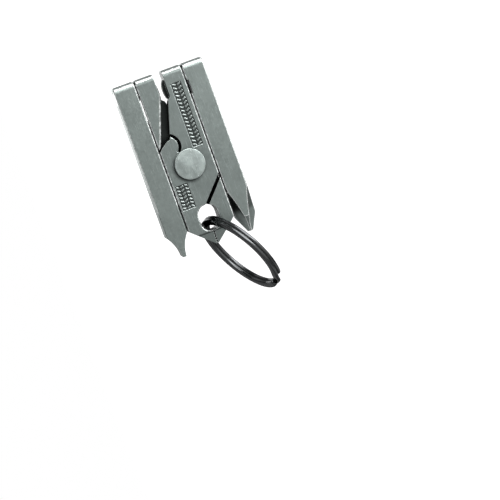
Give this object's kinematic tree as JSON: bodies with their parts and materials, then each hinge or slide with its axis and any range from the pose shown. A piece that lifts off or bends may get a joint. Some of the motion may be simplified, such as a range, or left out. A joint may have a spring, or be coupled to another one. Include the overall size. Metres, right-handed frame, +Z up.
{
  "type": "key-ring multi tool",
  "caption": "Pocket folding pliers with a split key ring through the jaws; each square handle folds out 180 degrees and ends in a flat or a cross-head screwdriver tip.",
  "frame": {"origin": "on the surface that the closed tool stands on, straight below the plier pivot", "axes": "+X along the tool towards its hinge end, -Y out of the front face, +Z up across the width, away from the cross-head handle it stands on"},
  "size_m": [0.0689, 0.0272, 0.0266],
  "materials": {
    "lever_steel": "fine satin, bead-blasted",
    "handle_steel": "fine satin, bead-blasted, ground tips",
    "rivet_steel": "brushed, lighter than the body",
    "pin_steel": "ground flush",
    "washer_steel": "dull spring steel",
    "ring_steel": "polished nickel plate"
  },
  "bodies": {
    "front_lever": {"front_lever": "lever_steel", "pivot_rivet": "rivet_steel", "pivot_rivet_cap": "rivet_steel", "pivot_spring_washer": "washer_steel", "phillips_handle_hinge_pin": "pin_steel", "phillips_handle_spring_washer": "washer_steel"},
    "rear_lever": {"rear_lever": "lever_steel", "flat_handle_hinge_pin": "pin_steel", "flat_handle_spring_washer": "washer_steel"},
    "flat_driver_handle": {"flat_driver_handle": "handle_steel"},
    "phillips_driver_handle": {"phillips_driver_handle": "handle_steel"},
    "key_ring": {"split_key_ring": "ring_steel"}
  },
  "joints": [
    {"name": "jaw_pivot", "type": "hinge", "parent": "front_lever", "child": "rear_lever", "pos_m": [0, 0, 0.0133], "axis": [0, -1, 0], "range_deg": [0, 18]},
    {"name": "flat_handle_fold", "type": "hinge", "parent": "rear_lever", "child": "flat_driver_handle", "pos_m": [0.0239, 0, 0.02355], "axis": [0, 0, 1], "range_deg": [0, 180]},
    {"name": "phillips_handle_fold", "type": "hinge", "parent": "front_lever", "child": "phillips_driver_handle", "pos_m": [0.0239, 0, 0.00305], "axis": [0, 0, 1], "range_deg": [0, 180]},
    {"name": "ring_swing", "type": "hinge", "parent": "front_lever", "child": "key_ring", "pos_m": [-0.0173, 0, 0.0135], "axis": [0, -1, 0], "range_deg": [-105, 52]}
  ],
  "couplings": [
    {"joint": "phillips_handle_fold", "follows": "flat_handle_fold", "ratio": 1},
    {"joint": "jaw_pivot", "follows": "flat_handle_fold", "ratio": 0.1}
  ]
}
